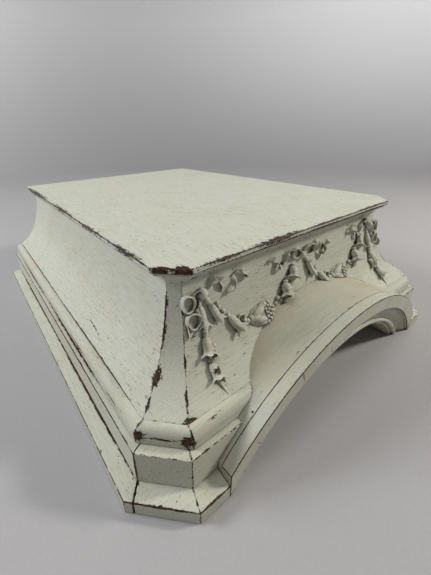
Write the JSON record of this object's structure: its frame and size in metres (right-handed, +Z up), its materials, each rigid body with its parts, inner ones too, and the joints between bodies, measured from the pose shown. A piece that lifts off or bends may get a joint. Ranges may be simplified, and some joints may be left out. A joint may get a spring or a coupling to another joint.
{
  "type": "arched wall shelf",
  "caption": "Painted wood wall shelf with a deep cove, canted front corners, an arched hood between two feet, and moulded garlands.",
  "frame": {"origin": "on the floor plane, in the middle of the footprint", "axes": "+X to the right seen from the front, -Y towards the arched front, +Y towards the wall, +Z up"},
  "size_m": [0.606, 0.678, 0.215],
  "materials": {
    "painted_wood": "chalk paint, rubbed back to reddish wood on the edges",
    "moulded_ornament": "cast composition ornament under the same chalk paint",
    "bare_wood": "sawn, unpainted"
  },
  "bodies": {
    "root": {"arch_bead": "painted_wood", "arch_cove_ring": "painted_wood", "arch_fascia": "painted_wood", "arch_former_front": "bare_wood", "arch_former_rear": "bare_wood", "arch_hood": "painted_wood", "arch_soffit": "painted_wood", "back_rail": "bare_wood", "back_sill": "bare_wood", "bow_centre": "moulded_ornament", "bow_left": "moulded_ornament", "bow_right": "moulded_ornament", "bullnose_cant_left": "painted_wood", "bullnose_cant_right": "painted_wood", "bullnose_front_left": "painted_wood", "bullnose_front_right": "painted_wood", "bullnose_left": "painted_wood", "bullnose_right": "painted_wood", "cavetto_cant_left": "painted_wood", "cavetto_cant_right": "painted_wood", "cavetto_front": "painted_wood", "cavetto_left": "painted_wood", "cavetto_right": "painted_wood", "corner_glue_blocks": "bare_wood", "cove_corner_left": "painted_wood", "cove_corner_right": "painted_wood", "cove_front": "painted_wood", "cove_left": "painted_wood", "cove_right": "painted_wood", "drop_left": "moulded_ornament", "drop_right": "moulded_ornament", "frieze_cant_left": "painted_wood", "frieze_cant_right": "painted_wood", "frieze_front_left": "painted_wood", "frieze_front_right": "painted_wood", "frieze_left": "painted_wood", "frieze_right": "painted_wood", "plinth_cant_left": "painted_wood", "plinth_cant_right": "painted_wood", "plinth_front_left": "painted_wood", "plinth_front_right": "painted_wood", "plinth_left": "painted_wood", "plinth_right": "painted_wood", "swag_left": "moulded_ornament", "swag_right": "moulded_ornament", "top_board": "painted_wood", "top_glue_blocks": "bare_wood"}
  },
  "joints": []
}
